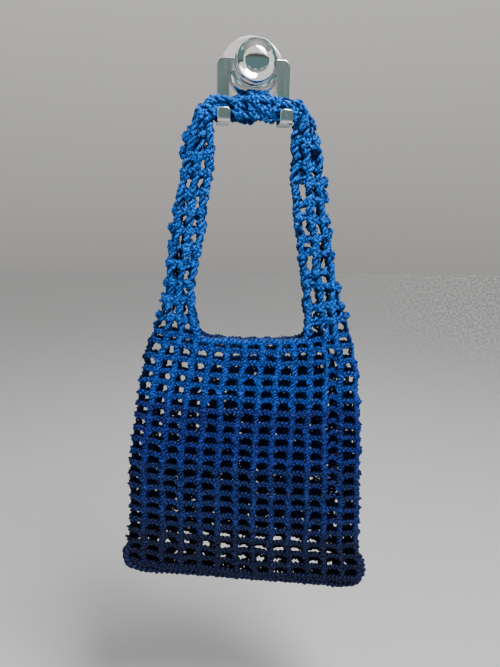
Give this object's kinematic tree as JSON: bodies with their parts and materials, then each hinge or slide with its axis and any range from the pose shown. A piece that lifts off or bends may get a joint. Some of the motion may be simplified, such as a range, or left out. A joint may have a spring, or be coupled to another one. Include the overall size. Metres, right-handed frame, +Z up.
{
  "type": "mesh bag on a wall hook",
  "caption": "Crocheted open-mesh bag with one wide strap, hung on a round chrome wall hook with a bent two-prong plate and a turned knob.",
  "frame": {"origin": "centre of the wall disc's flat back face, on the wall", "axes": "+X to the right seen from the front, +Y into the wall, +Z up; the bag hangs below the hook at y below zero"},
  "size_m": [0.261, 0.0468, 0.5813],
  "materials": {
    "cord_blue": "glossy twisted cord, from azure at the strap to navy at the foot",
    "chrome": "polished chrome",
    "plate_steel": "bright satin steel"
  },
  "bodies": {
    "root": {"bag": "cord_blue", "hook_plate": "plate_steel", "knob": "chrome", "wall_disc": "chrome"}
  },
  "joints": []
}
